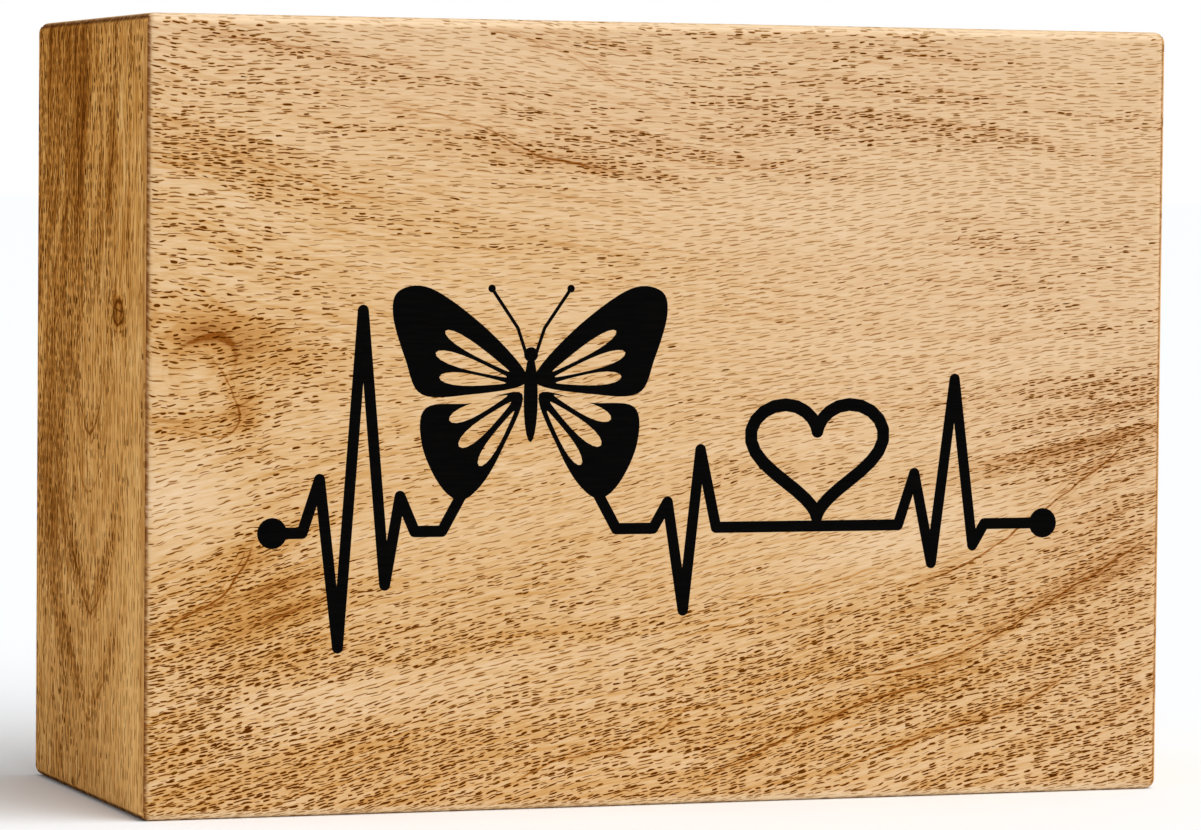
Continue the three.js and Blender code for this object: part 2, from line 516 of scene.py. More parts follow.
# Where the front is darker, or lighter
FRONT_PATCHES = [
    ((-112, 150), (22, 8), -14, 0.3),
    ((-16, 150), (36, 7), -8, 0.42),
    ((40, 158), (68, 11), 2, 0.24),
    ((-40, 177), (80, 4), -2, 0.35),
    ((-85, 167), (35, 4), -8, 0.3),
    ((-107, 108), (18, 6), -10, 1.7),
    ((-102, 93), (10, 4), 100, 0.8),
    ((-116, 89), (12, 3), 0, 0.5),
    ((-96, 50), (15, 11), 30, 1.45),
    ((-116, 42), (10, 5), 25, 0.25),
    ((-115, 14), (14, 9), 0, 0.35),
    ((-16, 12), (24, 10), 10, -0.25),
    ((35, 20), (45, 12), 14, 0.3),
    ((90, 24), (40, 12), 20, 0.4),
    ((0, 41), (70, 4), 4, 0.2),
    ((105, 84), (24, 10), 20, 1.05),
    ((112, 55), (22, 12), 50, 0.65),
    ((84, 126), (24, 6), -30, 0.28),
    ((30, 98), (30, 12), 0, -0.12),
    ((66, 64), (38, 5), 16, -0.6),
    ((-88, 26), (32, 4), 0, -0.45),
    ((-30, 31), (45, 4), 3, -0.3),
    ((-118, 72), (12, 8), 0, -0.7),
    ((50, 139), (65, 6), 3, -0.33),
    ((105, 172), (25, 6), 0, -0.25),
]


def front_slope(along, across):
    """Fibres rise to the right near the bottom, and are almost level near the top."""
    low = 0.24 - 0.06 * smooth(along, 60, 125)
    high = 0.0004 * along + clouds(along, across, FRONT_LIFTS)
    share = smooth(across - 0.05 * along, 55, 150)
    return low + (high - low) * share


def front_fibre(along, across):
    swirl = cloud(along, across, *FIBRE_SWIRL)
    return follow_fibre(front_slope, along, across) + swirl + FIBRE_WAVE * waviness(along, across)


def front_ring(along, across):
    """Growth rings fall to the right above the middle, and climb steeply to the right below it."""
    falling = 0.16 * along - 0.0004 * along ** 2
    rising = -0.12 * along - 0.000011 * np.maximum(along, 0) ** 3
    rising += 0.002 * np.minimum(along + 60, 0) ** 2
    share = smooth(across, 50, 140)
    swirl = cloud(along, across, *RING_SWIRL)
    return across + falling * share + rising * (1 - share) + swirl + waviness(along, across)


def front_tone(along, across):
    """Where the wood is darker and its pores are crowded, or where it is lighter."""
    foot = 0.14 * smooth(across, 50, 10)
    return 0.08 + foot + clouds(along, across, FRONT_PATCHES)


def front_warmth(along, across):
    """Golden towards the bottom and the left, paler and pinker at the top right."""
    low = 0.9 * smooth(across, 115, 20) * (1 - 0.4 * smooth(along, 60, 120))
    left = 0.8 * smooth(along, 110, -60) * smooth(across + 0.2 * along, 168, 112)
    return low + left * (1 - low)


def front_density(along, across):
    """Pores are most crowded near the bottom and towards the left."""
    return 0.35 * smooth(across, 64, 18) + 0.23 * smooth(along, -50, -115)


def even_density(along, across):
    return np.full(along.shape, 0.15)


# Dark veins: how strong each is, and the places it passes, along and across the grain
FRONT_VEINS = [
    (0.9, [(1, 2), (28, 14), (51, 23), (73, 27)]),
    (1.0, [(33, 27), (68, 32), (99, 47), (125, 62)]),
    (0.8, [(51, 47), (76, 55), (97, 69), (124, 88)]),
    (0.8, [(33, 3), (60, 13), (86, 20), (110, 33)]),
    (1.0, [(-124, 41), (-112, 47), (-104, 53), (-99, 62)]),
    (0.5, [(-112, 107), (-106, 99), (-103, 90), (-108, 86), (-124, 89)]),
    (0.6, [(-77, 162), (-48, 156), (-32, 149), (-11, 145)]),
    (0.5, [(-119, 177), (-83, 172), (-56, 169)]),
    (0.4, [(-49, 179), (-28, 173), (-13, 166), (6, 160)]),
    (0.4, [(-124, 154), (-101, 148), (-82, 141), (-66, 138)]),
    (0.5, [(8, 47), (32, 49), (58, 56)]),
    (0.7, [(-46, 3), (-26, 11), (-7, 15), (8, 24)]),
]


# Knot on the left side, and how far it pushes the fibres apart
KNOT_AT = (113, 28)
KNOT_SIZE = (3.2, 4.6)
PARTING_SIZE = (9, 9)
PARTING_REACH = 3.4
PARTING_TURN = 5

# Where the left side is darker, or lighter
SIDE_PATCHES = [
    ((170, 2), (18, 9), 0, 0.5),
    ((130, -10), (24, 4), 0, 0.4),
    ((148, 20), (13, 4), 0, 0.4),
    ((98, 0), (16, 15), 0, -0.3),
    ((97, -10), (5, 5), 0, 0.4),
    ((86, 2), (4, 9), 0, 0.5),
    ((54, -10), (15, 4), -53, 0.5),
    ((53, 14), (15, 4), 49, 0.5),
    ((29, -9), (15, 4), -48, 0.45),
    ((28, 13), (15, 4), 50, 0.45),
    ((66, -31), (24, 5), 0, 0.45),
    ((50, 41), (60, 8), 0, -0.4),
    ((28, -38), (26, 12), 0, -0.5),
]


def side_fibre(along, across):
    parting = cloud(along, across, KNOT_AT, PARTING_SIZE, 0, PARTING_REACH)
    parting *= np.tanh((across - KNOT_AT[1]) / PARTING_TURN)
    return across - parting + 0.02 * along + FIBRE_WAVE * waviness(along, across)


def knot_tone(along, across):
    """A dark oval with a lighter heart, in a golden ring."""
    away = np.hypot((along - KNOT_AT[0]) / KNOT_SIZE[0], (across - KNOT_AT[1]) / KNOT_SIZE[1])
    oval_tone = 2.4 * smooth(away, 1.3, 0.8)
    heart_tone = -0.7 * smooth(away, 0.7, 0.1)
    ring_tone = 0.55 * smooth(away, 2.6, 1.4)
    return oval_tone + heart_tone + ring_tone


def side_tone_and_shade(along, across):
    """Painted shade towards the back and the top and painted light near the bottom, with a knot, long
    streaks and the tips of the arches.
    """
    shade = 0.95 * (0.5 - across * MM / DEPTH)
    shade += 0.25 * smooth(along, 100, 175) - 0.45 * smooth(along, 80, 20)
    streaks = np.sin(across / 1.3 + 1.4 * np.sin(along / 38)) + np.sin(across / 2.3 - along / 60)
    shade += 0.22 * streaks * smooth(along, 60, 130)
    return shade + knot_tone(along, across) + clouds(along, across, SIDE_PATCHES)


def side_ring(along, across):
    """Nested arches that point down in the lower half, and straight streaks above them."""
    arches = 0.16 * along - 0.0072 * (across - 3) ** 2
    streaks = 0.4 * across
    share = smooth(along, 70, 150)
    return arches * (1 - share) + streaks * share + 0.4 * waviness(along, across)


def side_warmth(along, across):
    return 0.2 + 0.8 * smooth(along, 40, 150)


SIDE_VEINS = [
    (1.0, [(179, -8), (160, -8), (140, -9), (119, -10)]),
    (1.0, [(165, 24), (150, 22), (142, 20), (125, 17)]),
    (1.0, [(140, 33), (128, 31), (117, 29)]),
    (1.0, [(113, 23), (115.4, 25.5), (116, 28), (115.4, 30.5), (113, 33)]),
    (1.0, [(113, 23), (110.6, 25.5), (110, 28), (110.6, 30.5), (113, 33)]),
    (0.9, [(120, -16), (99, -11), (88, -3), (84.7, 3), (88, 9), (99, 15), (118, 20)]),
    (0.45, [(108, -23), (84, -13), (73, -3), (70.6, 3), (74, 9), (84, 18), (106, 27)]),
    (0.7, [(82, -27), (61, -19), (52, -8), (43.4, 4), (51, 16), (59, 22), (80, 33)]),
    (0.5, [(60, -25), (38, -19), (27, -9), (18.5, 3), (26, 13), (35, 22), (56, 29)]),
]


# Where the right side is darker, or lighter
CALM_PATCHES = [
    ((120, -20), (50, 8), 0, 0.4),
    ((60, 20), (45, 9), 0, 0.4),
    ((150, 30), (35, 6), 0, 0.3),
    ((30, -35), (35, 8), 0, -0.4),
]


def calm_fibre(along, across):
    return across - 0.02 * along + FIBRE_WAVE * waviness(along + 31, across)


def calm_tone(along, across):
    return 0.15 + clouds(along, across, CALM_PATCHES)


def calm_warmth(along, across):
    return np.full(along.shape, 0.5)


def calm_ring(along, across):
    return side_ring(along + 45, 12 - across)


# Where the back and the top are darker
PLAIN_PATCHES = [
    ((-60, 40), (50, 9), 5, 0.55),
    ((40, 95), (60, 10), -6, 0.50),
    ((75, 25), (40, 8), 10, 0.45),
    ((-80, 140), (45, 9), -8, 0.50),
]


def plain_fibre(along, across):
    return across + 0.06 * along + 1.4 * waviness(along + 57, across + 23)


def plain_tone(along, across):
    return 0.1 + clouds(along, across, PLAIN_PATCHES)


def plain_ring(along, across):
    return 1.2 * plain_fibre(along, across) + 0.002 * along ** 2


def plain_warmth(along, across):
    return 0.45 + 0.25 * np.sin(along / 90 + across / 70)


BOX_MM = np.array(cad_box) / MM

# How fast the figure changes through the thickness of a board, for each millimetre
FIBRE_THROUGH = 0.5
RING_THROUGH = 0.3

# How far the width of pores follows the fibres as they close up or part, and what crowding adds to it
SPREAD_RANGE = (0.4, 2.0)
CROWDED_WIDENING = 0.5


def add_figure(piece, along_axis, across_axis, fibre, ring, tone, warmth, density, veins, coarseness):
    """Stores on each point where it lies in the board, and what the wood is like there."""
    mesh = piece.data
    points = np.empty(len(mesh.vertices) * 3)
    mesh.vertices.foreach_get("co", points)
    points = points.reshape(-1, 3) / MM
    along = points @ np.array(along_axis)
    across = points @ np.array(across_axis)
    through = points @ np.cross(along_axis, across_axis)

    # Veins are drawn as coarse as the pores
    narrowed = [(darkness, np.array(stops) / coarseness) for darkness, stops in veins]
    distance, strength = vein_field(along / coarseness, across / coarseness, narrowed)
    spread = np.clip(fibre(along, across + 0.5) - fibre(along, across - 0.5), *SPREAD_RANGE)
    crowding = density(along, across)

    # The board's own face is the nearest; the second nearest gives the distance to its edge
    from_faces = np.concatenate([BOX_MM[1] - points, points - BOX_MM[0]], axis=1)
    from_edge = np.sort(from_faces, axis=1)[:, 1]
    fibre_place = fibre(along, across) + FIBRE_THROUGH * through
    ring_place = ring(along, across) + RING_THROUGH * through
    stored = {
        "place": (along, across, warmth(along, across)),
        "figure": (fibre_place, ring_place, tone(along, across)),
        "vein": (distance, strength, spread * (1 + CROWDED_WIDENING * crowding)),
        "edge_crowding_coarseness": (from_edge, crowding, np.full(along.shape, coarseness)),
    }
    for label, values in stored.items():
        layer = mesh.attributes.new(label, "FLOAT_VECTOR", "POINT")
        layer.data.foreach_set("vector", np.stack(values, axis=1).astype(np.float32).ravel())


ALONG_X = (1, 0, 0)
ALONG_Y = (0, 1, 0)
UPRIGHT = (0, 0, 1)

# How many times wider than true the pores are; the left side is seen at a flat angle
TRUE_GRAIN = 1.0
CALM_GRAIN = 1.2
SIDE_GRAIN = 1.8

FRONT_FIGURE = (front_fibre, front_ring, front_tone, front_warmth, front_density, FRONT_VEINS, TRUE_GRAIN)
SIDE_FIGURE = (side_fibre, side_ring, side_tone_and_shade, side_warmth, even_density, SIDE_VEINS, SIDE_GRAIN)
CALM_FIGURE = (calm_fibre, calm_ring, calm_tone, calm_warmth, even_density, [], CALM_GRAIN)
PLAIN_FIGURE = (plain_fibre, plain_ring, plain_tone, plain_warmth, even_density, [], TRUE_GRAIN)
add_figure(front, ALONG_X, UPRIGHT, *FRONT_FIGURE)
add_figure(back, (-1, 0, 0), UPRIGHT, *PLAIN_FIGURE)
add_figure(top, ALONG_X, ALONG_Y, *PLAIN_FIGURE)
add_figure(left, UPRIGHT, (0, -1, 0), *SIDE_FIGURE)
add_figure(right, UPRIGHT, (0, -1, 0), *CALM_FIGURE)


# Materials

def srgb(red, green, blue):
    """A colour given as 0 to 255 on screen, as the renderer's linear colour."""
    def linear(value):
        part = value / 255
        return part / 12.92 if part <= 0.04045 else ((part + 0.055) / 1.055) ** 2.4
    return (linear(red), linear(green), linear(blue), 1.0)


# The eye's own scale of brightness
EYE_GAMMA = 2.2


class Paint:
    """A material whose nodes are written as nested calls."""

    def __init__(self, name):
        self.material = bpy.data.materials.new(name)
        self.material.use_nodes = True
        self.tree = self.material.node_tree
        self.surface = self.tree.nodes["Principled BSDF"]

    def put(self, socket, value):
        if isinstance(value, bpy.types.NodeSocket):
            self.tree.links.new(value, socket)
        else:
            socket.default_value = value

    def show(self, label, value):
        """Sets one input of the surface."""
        self.put(self.surface.inputs[label], value)

    def node(self, kind, **settings):
        made = self.tree.nodes.new(kind)
        for key, value in settings.items():
            setattr(made, key, value)
        return made

    def stored(self, label):
        """The three values that a board stores on its points under one label."""
        return self.split(self.node("ShaderNodeAttribute", attribute_name=label).outputs["Vector"])

    def place(self):
        """The place on a CAD node or piece, in metres."""
        return self.split(self.node("ShaderNodeTexCoord").outputs["Object"])

    def math(self, operation, *values):
        made = self.node("ShaderNodeMath", operation=operation)
        for socket, value in zip(made.inputs, values):
            self.put(socket, value)
        return made.outputs[0]

    def add(self, *values):
        total = values[0]
        for value in values[1:]:
            total = self.math("ADD", total, value)
        return total

    def times(self, *values):
        total = values[0]
        for value in values[1:]:
            total = self.math("MULTIPLY", total, value)
        return total

    def ease(self, value, low, high, start=0.0, end=1.0):
        """Eases from start at low to end at high."""
        made = self.node("ShaderNodeMapRange", interpolation_type="SMOOTHSTEP")
        for socket, setting in zip(made.inputs, (value, low, high, start, end)):
            self.put(socket, setting)
        return made.outputs[0]

    def split(self, vector):
        made = self.node("ShaderNodeSeparateXYZ")
        self.put(made.inputs[0], vector)
        return made.outputs

    def vector(self, *values):
        made = self.node("ShaderNodeCombineXYZ")
        for socket, value in zip(made.inputs, values):
            self.put(socket, value)
        return made.outputs[0]

    def noise(self, along, across, pattern):
        """Soft noise; the pattern says how fast it changes along and across, and its detail."""
        rate_along, rate_across, detail = pattern
        made = self.node("ShaderNodeTexNoise", noise_dimensions="2D")
        place = self.vector(self.times(along, rate_along), self.times(across, rate_across), 0.0)
        self.put(made.inputs["Vector"], place)
        self.put(made.inputs["Scale"], 1.0)
        self.put(made.inputs["Detail"], detail)
        return made.outputs["Fac"]

    def swing(self, noise, amount):
        """Noise as a change up or down around nothing."""
        return self.math("MULTIPLY_ADD", noise, amount, -0.5 * amount)

    def blend(self, share, first, second, way="MIX"):
        made = self.node("ShaderNodeMix", data_type="RGBA", blend_type=way)
        self.put(made.inputs["Factor"], share)
        self.put(made.inputs["A"], first)
        self.put(made.inputs["B"], second)
        return made.outputs["Result"]

    def stain(self, share, first, second):
        """Blends in steps that look even to the eye, so that half a stain is a rich brown."""
        seen = self.node("ShaderNodeGamma")
        self.put(seen.inputs["Color"], first)
        self.put(seen.inputs["Gamma"], 1 / EYE_GAMMA)
        mixed = self.blend(share, seen.outputs["Color"], [part ** (1 / EYE_GAMMA) for part in second])
        made = self.node("ShaderNodeGamma")
        self.put(made.inputs["Color"], mixed)
        self.put(made.inputs["Gamma"], EYE_GAMMA)
        return made.outputs["Color"]

    def ramp(self, value, stops):
        made = self.node("ShaderNodeValToRGB")
        marks = made.color_ramp.elements
        while len(marks) < len(stops):
            marks.new(0.5)
        for mark, (place, colour) in zip(marks, stops):
            mark.position = place
            mark.color = colour
        self.put(made.inputs["Fac"], value)
        return made.outputs["Color"]


# Pores: spacing and greatest size along and across the grain in millimetres, and a shift of their grid
SPARSE_PORES = ((3.6, 0.95), (3.8, 0.31), 0.0)
PACKED_PORES = ((2.2, 0.7), (2.4, 0.35), 71.9)
PANEL_PORES = ((3.2, 1.1), (2.8, 0.34), 0.0)

# Outline of a pore, where 1 is its rim, and how its darkness varies
PORE_SCATTER = 0.8
PORE_BLUNTNESS = 3.0
PORE_CORE = (1.3, 0.55)
PORE_HALO = (3.5, 0.5)
PALEST_PORE = 0.65


def pore_layer(paint, along, fibre, spread, pattern, share):
    """Short dark vessel lines along the fibre, one for each cell of a scattered grid.

    Gives the lines, the stain around them and the dents that they leave.
    """
    spacing, size, shift = pattern
    cells = paint.node("ShaderNodeTexVoronoi", voronoi_dimensions="2D")
    cell_along = paint.math("MULTIPLY_ADD", along, 1 / spacing[0], shift)
    cell_across = paint.math("MULTIPLY_ADD", fibre, 1 / spacing[1], shift)
    paint.put(cells.inputs["Vector"], paint.vector(cell_along, cell_across, 0.0))
    paint.put(cells.inputs["Scale"], 1.0)
    paint.put(cells.inputs["Randomness"], PORE_SCATTER)
    middle = paint.split(cells.outputs["Position"])
    draw = paint.split(cells.outputs["Color"])
    lengthwise = paint.math("SUBTRACT", cell_along, middle[0])
    sideways = paint.math("SUBTRACT", cell_across, middle[1])

    # Each pore has between half and all of the greatest size
    longest = 0.5 * size[0] / spacing[0]
    widest = 0.5 * size[1] / spacing[1]
    half_length = paint.math("MULTIPLY_ADD", draw[1], 0.5 * longest, 0.5 * longest)
    half_width = paint.times(paint.math("MULTIPLY_ADD", draw[2], 0.5 * widest, 0.5 * widest), spread)
    far_along = paint.math("ABSOLUTE", paint.math("DIVIDE", lengthwise, half_length))
    far_across = paint.math("DIVIDE", sideways, half_width)
    outline = paint.add(
        paint.math("POWER", far_along, PORE_BLUNTNESS),
        paint.math("POWER", far_across, 2.0),
    )
    weight = paint.math("MULTIPLY_ADD", draw[2], 1 - PALEST_PORE, PALEST_PORE)
    present = paint.times(paint.math("LESS_THAN", draw[0], share), weight)
    dent = paint.ease(outline, *PORE_CORE)
    halo = paint.times(paint.ease(outline, *PORE_HALO), present)
    return paint.times(dent, present), halo, dent


# Below, a range for an ease holds its low and high, and its start and end where they are not 0 and 1

# Noise patterns of the wood: how fast each changes along and across, for each millimetre, and its detail
BANDS = (0.008, 0.14, 3.0)
LINES = (0.02, 0.9, 1.0)
SWAY = (0.1, 0.15, 1.0)
HAIR = (0.13, 2.2, 3.0)
WANDER = (0.25, 0.5, 1.0)
ROWS = (0.02, 0.5, 2.0)
THIRST = (0.5, 0.9, 2.0)

# Veins: offset, half width and darkness of the main line, and of those that come and go beside it
VEIN_LINE = (0.0, 0.45, 1.0)
VEIN_COMPANIONS = [
    (1.2, 0.3, 0.6),
    (-0.9, 0.28, 0.5),
    (2.4, 0.28, 0.4),
    (0.0, 3.0, 0.2),
]
VEIN_SWAY = 1.6
COMPANIONS_SHOW = (0.38, 0.6, 0.2, 1.0)

# Shade of the wood, from 0 for the lightest to 1 for the darkest
SHADE_STOPS = {"light": 0.0, "middle": 0.3, "deep": 0.62, "dark": 1.0}
BASE_SHADE = 0.25
TONE_SHADE = 0.25
BAND_SHADE = 0.55
LINE_SHADE = 0.3
LINES_SHOW = (0.54, 0.74)
BANDS_STIR_TONE = (0.3, 0.7, 0.6, 1.3)
QUIET_RINGS = 0.4
GILDED_SHADE = (-0.05, 0.65)

# How crowded and how dark the pores are
FIBRE_WANDER = 0.7
CROWD_BY_BAND = 1.0
CROWD_BY_ROW = 0.9
CROWD_BY_VEIN = 0.4
CROWD_RANGE = (0.05, 0.85)
SPARSE_SHARE = 0.92
SPARSE_LOSS = -0.8
PACKED_SHARE = 0.98
FAINTEST_PORE = 0.38
DARKER_BY_CROWD = 0.47
DARKER_BY_DENSITY = 0.6
HALO_SHARE = 0.5

# Within a few millimetres of an edge: a painted highlight on the face wood, painted shade on the sides,
# and fainter pores; end grain, known by how far a face is square to the grain
PAINTED_EDGE_SHADING = (2.6, 0.9, 0.0, 0.6)
FILLED_EDGE = (0.9, 2.4, 0.4, 1.0)
LONG_GRAIN = (0.3, 0.05)
END_GRAIN = (0.3, 0.65)
THIRSTY = (0.3, 0.65, 0.4, 1.0)

# Finish; roughness is what the pores add to it, and the least
WOOD_ROUGHNESS = (0.2, 0.45)
WOOD_GLOSS = 0.0
PORE_RELIEF = 0.4
PORE_DEPTH = 0.1 * MM


class Figure:
    """What a board stores on its points about its wood."""

    def __init__(self, paint):
        self.along, self.across, self.warmth = paint.stored("place")
        self.fibre, self.ring, self.tone = paint.stored("figure")
        self.distance, self.strength, self.spread = paint.stored("vein")
        self.edge, self.density, self.coarseness = paint.stored("edge_crowding_coarseness")


def vein_lines(paint, figure):
    """A dark line with thinner ones beside it, as growth rings show where they come to the surface."""
    sway = paint.noise(figure.along, figure.across, SWAY)
    wavy = paint.add(figure.distance, paint.swing(sway, VEIN_SWAY))

    def line(offset, half_width, weight):
        away = paint.math("ABSOLUTE", paint.math("SUBTRACT", wavy, offset))
        return paint.times(paint.ease(away, half_width, 0.0), weight)

    beside = 0.0
    for companion in VEIN_COMPANIONS:
        beside = paint.math("MAXIMUM", beside, line(*companion))
    beside = paint.times(beside, paint.ease(sway, *COMPANIONS_SHOW))
    return paint.times(paint.math("MAXIMUM", beside, line(*VEIN_LINE)), figure.strength)


def wood_shade(paint, figure, bands, tone, vein, look):
    """How dark the wood is, from its tone, its growth rings, its veins and its fine fibre."""
    lines = paint.noise(figure.along, figure.ring, LINES)
    depth = paint.times(paint.math("MULTIPLY_ADD", tone, 1 - QUIET_RINGS, QUIET_RINGS), look["rings"])
    hair_along = paint.math("DIVIDE", figure.along, figure.coarseness)
    hair_across = paint.math("DIVIDE", figure.fibre, figure.coarseness)
    hair = paint.noise(hair_along, hair_across, HAIR)
    return paint.add(
        BASE_SHADE,
        paint.times(tone, TONE_SHADE),
        paint.times(paint.swing(bands, BAND_SHADE), depth),
        paint.times(paint.ease(lines, *LINES_SHOW), depth, LINE_SHADE),
        paint.times(vein, look["veins"]),
        paint.swing(hair, look["streaks"]),
    )


def wood_pores(paint, figure, bands, tone, vein):
    """Faint scattered pores on quiet wood and dark crowded ones on lively wood."""
    wander = paint.noise(figure.along, figure.across, WANDER)
    wandering = paint.add(figure.fibre, paint.swing(wander, FIBRE_WANDER))
    bent = paint.math("DIVIDE", wandering, figure.coarseness)
    rows = paint.noise(figure.along, bent, ROWS)
    lively = paint.add(
        tone,
        figure.density,
        paint.swing(bands, CROWD_BY_BAND),
        paint.swing(rows, CROWD_BY_ROW),
        paint.times(vein, CROWD_BY_VEIN),
    )
    crowd = paint.ease(lively, *CROWD_RANGE)
    sparse = paint.math("MULTIPLY_ADD", crowd, SPARSE_LOSS, SPARSE_SHARE)
    packed = paint.times(crowd, PACKED_SHARE)
    few, few_halo, dents = pore_layer(paint, figure.along, bent, figure.spread, SPARSE_PORES, sparse)
    many, many_halo, _ = pore_layer(paint, figure.along, bent, figure.spread, PACKED_PORES, packed)
    dark = paint.add(
        FAINTEST_PORE,
        paint.times(crowd, DARKER_BY_CROWD),
        paint.times(figure.density, DARKER_BY_DENSITY),
    )
    dark = paint.math("MINIMUM", dark, 1.0)
    filled = paint.ease(figure.edge, *FILLED_EDGE)
    pores = paint.times(paint.math("MAXIMUM", paint.times(few, dark), many), filled)
    halo = paint.times(paint.math("MAXIMUM", paint.times(few_halo, dark), many_halo), filled)
    return pores, halo, dents


def cut_across(paint, grain_axis):
    """How far a face cuts the grain: 0 along it, 1 square across it."""
    facing = paint.node("ShaderNodeVectorMath", operation="DOT_PRODUCT")
    paint.put(facing.inputs[0], paint.node("ShaderNodeNewGeometry").outputs["Normal"])
    paint.put(facing.inputs[1], grain_axis)
    return paint.math("ABSOLUTE", facing.outputs["Value"])


def wood_material(name, grain_axis, look):
    """Wood with the figure that its board stores, in the colours and strengths of its look."""
    paint = Paint(name)
    figure = Figure(paint)
    bands = paint.noise(figure.along, figure.ring, BANDS)
    tone = paint.times(figure.tone, paint.ease(bands, *BANDS_STIR_TONE))
    vein = vein_lines(paint, figure)
    shade = wood_shade(paint, figure, bands, tone, vein, look)
    colour = paint.ramp(shade, [(place, look[shade_name]) for shade_name, place in SHADE_STOPS.items()])
    gilded = paint.times(figure.warmth, paint.ease(shade, *GILDED_SHADE))
    colour = paint.blend(gilded, colour, look["golden"], "MULTIPLY")

    # Edges along the grain get a painted highlight on the face wood and painted shade on the side woods
    cut = cut_across(paint, grain_axis)
    edge_highlight_and_shade = paint.times(paint.ease(figure.edge, *PAINTED_EDGE_SHADING), paint.ease(cut, *LONG_GRAIN))
    colour = paint.stain(edge_highlight_and_shade, colour, look["rim"])

    pores, halo, dents = wood_pores(paint, figure, bands, tone, vein)
    pores = paint.times(pores, look["bite"])
    colour = paint.stain(paint.times(halo, HALO_SHARE), colour, look["amber"])
    colour = paint.stain(pores, colour, look["pore"])

    # End grain drinks more finish and turns dark
    thirst = paint.noise(figure.ring, figure.fibre, THIRST)
    drunk = paint.times(paint.ease(cut, *END_GRAIN), paint.ease(thirst, *THIRSTY))
    colour = paint.stain(drunk, colour, look["ends"])

    paint.show("Base Color", colour)
    paint.show("Roughness", paint.math("MULTIPLY_ADD", pores, *WOOD_ROUGHNESS))
    paint.show("Specular IOR Level", WOOD_GLOSS)
    relief = paint.node("ShaderNodeBump")
    paint.put(relief.inputs["Strength"], PORE_RELIEF)
    paint.put(relief.inputs["Distance"], PORE_DEPTH)
    paint.put(relief.inputs["Height"], paint.math("SUBTRACT", 1.0, dents))
    paint.show("Normal", relief.outputs["Normal"])
    return paint.material


# Looks of the three woods: colours, then the strengths of fibre, growth rings, veins and pores
FACE_LOOK = dict(
    light=srgb(227, 198, 163),
    middle=srgb(217, 183, 143),
    deep=srgb(199, 155, 111),
    dark=srgb(138, 82, 32),
    amber=srgb(190, 118, 44),
    pore=srgb(78, 34, 0),
    ends=srgb(116, 66, 26),
    # rim is a painted highlight along the edges
    rim=srgb(244, 220, 186),
    golden=(0.91, 0.77, 0.42, 1.0),
    streaks=0.6,
    rings=1.0,
    veins=0.85,
    bite=1.0,
)
SIDE_LOOK = dict(
    light=srgb(246, 195, 124),
    middle=srgb(224, 166, 94),
    deep=srgb(180, 118, 52),
    dark=srgb(108, 58, 14),
    amber=srgb(140, 82, 24),
    pore=srgb(76, 38, 6),
    ends=srgb(78, 42, 18),
    # rim is painted shade along the edges
    rim=srgb(172, 122, 66),
    golden=(0.98, 0.90, 0.68, 1.0),
    streaks=1.35,
    rings=0.7,
    veins=0.55,
    bite=0.9,
)
RIGHT_LOOK = dict(
    light=srgb(232, 198, 154),
    middle=srgb(219, 179, 130),
    deep=srgb(193, 145, 93),
    dark=srgb(128, 76, 28),
    amber=srgb(172, 108, 42),
    pore=srgb(78, 38, 6),
    ends=srgb(98, 56, 24),
    # rim is painted shade along the edges
    rim=srgb(206, 160, 108),
    golden=(0.95, 0.84, 0.55, 1.0),
    streaks=0.8,
    rings=0.8,
    veins=0.5,
    bite=0.9,
)
face_wood = wood_material("face_wood", ALONG_X, FACE_LOOK)
side_wood = wood_material("side_wood", UPRIGHT, SIDE_LOOK)
right_wood = wood_material("right_side_wood", UPRIGHT, RIGHT_LOOK)

# Base panel, with noise patterns for each millimetre
PANEL_BANDS = (0.01, 0.2, 3.0)
PANEL_HAIR = (0.1, 2.0, 3.0)
PANEL_LIGHT = srgb(214, 178, 128)
PANEL_DARK = srgb(164, 116, 66)
PANEL_PORE = srgb(96, 52, 18)
PANEL_SHADE = 0.4
PANEL_BAND_SHADE = 1.2
PANEL_HAIR_SHADE = 0.8
PANEL_PORE_SHARE = 0.8
PANEL_BITE = 0.8
PANEL_GLOSS = 0.3

# Roughness of the panel, the screws and the ink: how much its pattern adds, and the least
PANEL_ROUGHNESS = (0.2, 0.5)
STEEL_ROUGHNESS = (0.3, 0.2)
INK_ROUGHNESS = (0.2, 0.5)


def base_material():
    """Plain panel wood for the underside, with the grain along the box."""
    paint = Paint("base_wood")
    metres = paint.place()
    along = paint.times(metres[0], 1 / MM)
    across = paint.times(metres[1], 1 / MM)
    bands = paint.noise(along, across, PANEL_BANDS)
    hair = paint.noise(along, across, PANEL_HAIR)
    streaks = paint.add(paint.swing(bands, PANEL_BAND_SHADE), paint.swing(hair, PANEL_HAIR_SHADE))
    shade = paint.add(PANEL_SHADE, streaks)
    colour = paint.ramp(shade, [(0.0, PANEL_LIGHT), (1.0, PANEL_DARK)])
    pores, _, _ = pore_layer(paint, along, across, 1.0, PANEL_PORES, PANEL_PORE_SHARE)
    colour = paint.stain(paint.times(pores, PANEL_BITE), colour, PANEL_PORE)
    paint.show("Base Color", colour)
    paint.show("Roughness", paint.math("MULTIPLY_ADD", hair, *PANEL_ROUGHNESS))
    paint.show("Specular IOR Level", PANEL_GLOSS)
    return paint.material


# Screws and ink, with noise patterns for each metre
STEEL_BLOTCHES = (900.0, 900.0, 3.0)
STEEL_DARK = (0.34, 0.33, 0.30, 1.0)
STEEL_LIGHT = (0.58, 0.57, 0.53, 1.0)
INK_GRAIN = (120.0, 1500.0, 3.0)
INK_DARK = (0.0006, 0.0005, 0.0005, 1.0)
INK_LIGHT = (0.002, 0.0017, 0.0015, 1.0)
INK_GLOSS = 0.02


